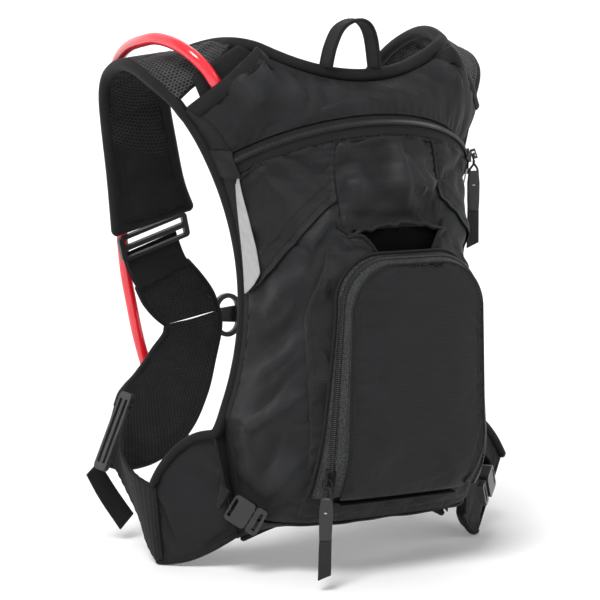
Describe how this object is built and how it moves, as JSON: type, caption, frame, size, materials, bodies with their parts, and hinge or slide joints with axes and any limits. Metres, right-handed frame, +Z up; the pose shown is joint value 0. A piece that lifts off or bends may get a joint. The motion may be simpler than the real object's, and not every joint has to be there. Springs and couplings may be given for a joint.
{
  "type": "hydration pack",
  "caption": "Small hydration backpack with a zipped bag, an outer pocket, a chest harness with hip wings, and a drinking hose from an inner water reservoir.",
  "frame": {"origin": "middle of the surface that the pack stands on, under the middle of its box", "axes": "+X to the right seen from the bag side, +Y towards the wearer, +Z up"},
  "size_m": [0.336, 0.3128, 0.4244],
  "materials": {
    "ripstop": "ripstop nylon with a fine rib",
    "side_fabric": "plain weave nylon",
    "air_mesh": "open spacer mesh",
    "padding": "fabric over closed-cell foam",
    "binding": "grosgrain binding",
    "webbing": "woven webbing and elastic",
    "zip": "moulded nylon coil",
    "zip_metal": "black lacquer",
    "zip_pull": "moulded rubber and tape",
    "reflective": "reflective trim",
    "black_plastic": "moulded acetal",
    "grey_plastic": "translucent grey",
    "valve_body": "moulded",
    "hose_red": "clear-coated red tube",
    "bladder": "soft film",
    "cap_blue": "moulded"
  },
  "bodies": {
    "pack": {"back_panel": "padding", "back_mesh": "air_mesh", "neck_binding": "binding", "binding_left": "binding", "binding_right": "binding", "upper_panel": "ripstop", "front_panel": "ripstop", "side_panel_left": "side_fabric", "side_panel_right": "side_fabric", "bottom_panel": "side_fabric", "stash_panel": "ripstop", "main_zip_coil": "zip", "pocket_gusset": "side_fabric", "pocket_coil": "zip", "reflective_left": "reflective", "reflective_right": "reflective", "haul_loop": "webbing", "wing_left": "ripstop", "wing_right": "ripstop", "elastic_band_left": "webbing", "elastic_band_right": "webbing", "shoulder_strap_left": "padding", "shoulder_strap_right": "padding", "adjuster_web_left": "webbing", "adjuster_web_right": "webbing", "chest_mesh_left": "air_mesh", "chest_mesh_right": "air_mesh", "chest_ring": "black_plastic", "side_tail_left": "webbing", "side_tail_right": "webbing", "side_web_left": "webbing", "side_web_right": "webbing", "buckle_body_left": "black_plastic", "buckle_body_right": "black_plastic", "reservoir_sleeve": "ripstop", "reservoir_bag": "bladder", "hang_clip": "black_plastic", "reservoir_elbow": "cap_blue", "shoulder_binding_left": "binding", "shoulder_binding_right": "binding", "hose_inner": "hose_red", "drink_hose": "hose_red", "hose_keeper": "webbing", "bite_valve": "valve_body", "mouthpiece": "grey_plastic"},
    "main_slider": {"main_slider": "zip_metal"},
    "main_pull": {"main_pull": "zip_pull"},
    "pocket_lid": {"pocket_lid": "ripstop"},
    "pocket_slider": {"pocket_slider": "zip_metal"},
    "pocket_pull": {"pocket_pull": "zip_pull"},
    "chest_hook": {"chest_hook": "black_plastic"},
    "strap_loop_left": {"strap_loop_left": "black_plastic"},
    "strap_loop_right": {"strap_loop_right": "black_plastic"},
    "side_slider_left": {"side_slider_left": "grey_plastic"},
    "side_slider_right": {"side_slider_right": "grey_plastic"},
    "buckle_clip_left": {"buckle_clip_left": "black_plastic"},
    "buckle_clip_right": {"buckle_clip_right": "black_plastic"},
    "shutoff_lever": {"shutoff_lever": "grey_plastic"},
    "reservoir_cap": {"reservoir_cap": "cap_blue"}
  },
  "joints": [
    {"name": "main_zip_slide", "type": "hinge", "parent": "pack", "child": "main_slider", "pos_m": [0, 0.005, 0.279], "axis": [0, 0.5255, 0.8508], "range_deg": [-114, 0]},
    {"name": "main_pull_swing", "type": "hinge", "parent": "main_slider", "child": "main_pull", "pos_m": [0.11398, -0.0556, 0.31643], "axis": [0.5919, 0.806, 0], "range_deg": [-150, 0]},
    {"name": "pocket_lid_open", "type": "hinge", "parent": "pack", "child": "pocket_lid", "pos_m": [0, -0.1385, 0.0645], "axis": [1, 0, 0], "range_deg": [0, 75]},
    {"name": "pocket_zip_slide", "type": "slide", "parent": "pack", "child": "pocket_slider", "axis": [0.0784, 0, 0.9969], "range_m": [0, 0.115]},
    {"name": "pocket_pull_swing", "type": "hinge", "parent": "pocket_slider", "child": "pocket_pull", "pos_m": [-0.0756, -0.1446, 0.08468], "axis": [0.5642, -0.8256, 0], "range_deg": [-150, 0]},
    {"name": "chest_hook_release", "type": "hinge", "parent": "pack", "child": "chest_hook", "pos_m": [0.018, 0.1546, 0.17], "axis": [0, 0, 1], "range_deg": [-60, 0]},
    {"name": "strap_loop_slide_left", "type": "slide", "parent": "pack", "child": "strap_loop_left", "axis": [0.33, -0.043, -0.943], "range_m": [0, 0.008]},
    {"name": "strap_loop_slide_right", "type": "slide", "parent": "pack", "child": "strap_loop_right", "axis": [-0.33, -0.043, -0.943], "range_m": [0, 0.008]},
    {"name": "side_slider_tilt_left", "type": "hinge", "parent": "pack", "child": "side_slider_left", "pos_m": [-0.151, 0.064, 0.095], "axis": [0.3907, 0, 0.9205], "range_deg": [-25, 25]},
    {"name": "side_slider_tilt_right", "type": "hinge", "parent": "pack", "child": "side_slider_right", "pos_m": [0.151, 0.064, 0.095], "axis": [-0.3907, 0, 0.9205], "range_deg": [-25, 25]},
    {"name": "buckle_release_left", "type": "slide", "parent": "pack", "child": "buckle_clip_left", "axis": [0.6566, -0.551, -0.515], "range_m": [0, 0.016]},
    {"name": "buckle_release_right", "type": "slide", "parent": "pack", "child": "buckle_clip_right", "axis": [-0.6566, -0.551, -0.515], "range_m": [0, 0.016]},
    {"name": "shutoff_turn", "type": "hinge", "parent": "pack", "child": "shutoff_lever", "pos_m": [-0.04569, 0.14201, 0.06203], "axis": [-0.6994, 0.1907, -0.6889], "range_deg": [0, 90]},
    {"name": "reservoir_cap_turn", "type": "hinge", "parent": "pack", "child": "reservoir_cap", "pos_m": [0, -0.0824, 0.222], "axis": [0, -1, 0], "range_deg": [0, 180]}
  ]
}
